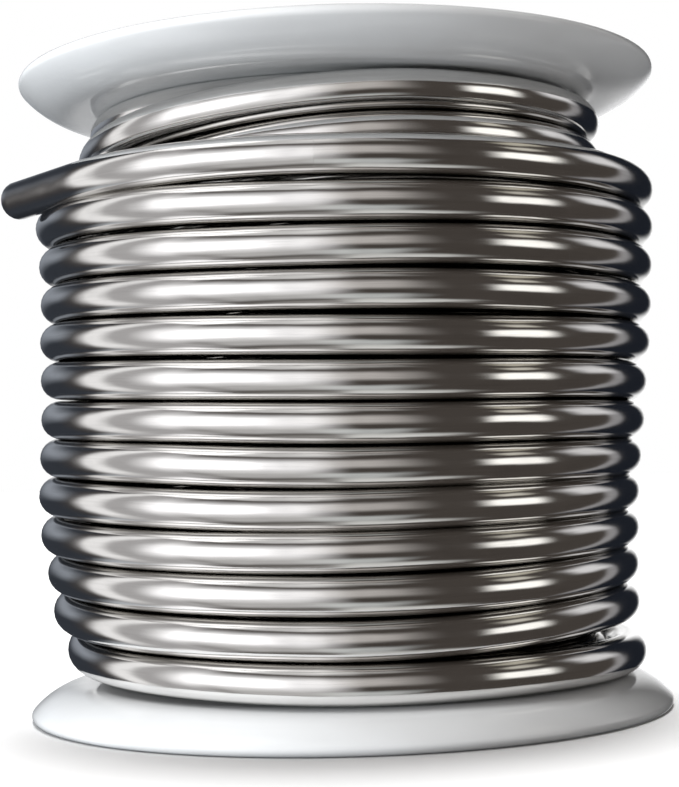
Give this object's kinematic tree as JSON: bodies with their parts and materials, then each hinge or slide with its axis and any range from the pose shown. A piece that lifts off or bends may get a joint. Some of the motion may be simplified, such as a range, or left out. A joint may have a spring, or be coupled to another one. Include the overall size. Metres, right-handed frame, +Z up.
{
  "type": "solder wire spool",
  "caption": "Small white plastic spool with two rounded flanges, wound with thick bright solder wire whose cut free end stands off the top of the coil.",
  "frame": {"origin": "centre of the lower flange's outer face, where the spool stands", "axes": "+Z up along the arbor bore, -Y towards the side the free end is reached from, +X to the right"},
  "size_m": [0.0555, 0.054, 0.0537],
  "materials": {
    "white_plastic": "glossy white moulded plastic",
    "label_paper": "plain matt label paper",
    "solder": "bright drawn tin-lead solder, polished by the die"
  },
  "bodies": {
    "spool": {"barrel": "white_plastic", "upper_flange": "white_plastic", "lower_flange": "white_plastic", "upper_label": "label_paper", "lower_label": "label_paper", "solder_coil": "solder", "solder_start": "solder"},
    "free_end": {"solder_free_end": "solder"}
  },
  "joints": [
    {"name": "free_end_bend", "type": "hinge", "parent": "spool", "child": "free_end", "pos_m": [-0.0202, -0.0142, 0.0434], "axis": [0, 0, 1], "range_deg": [0, 75]}
  ]
}
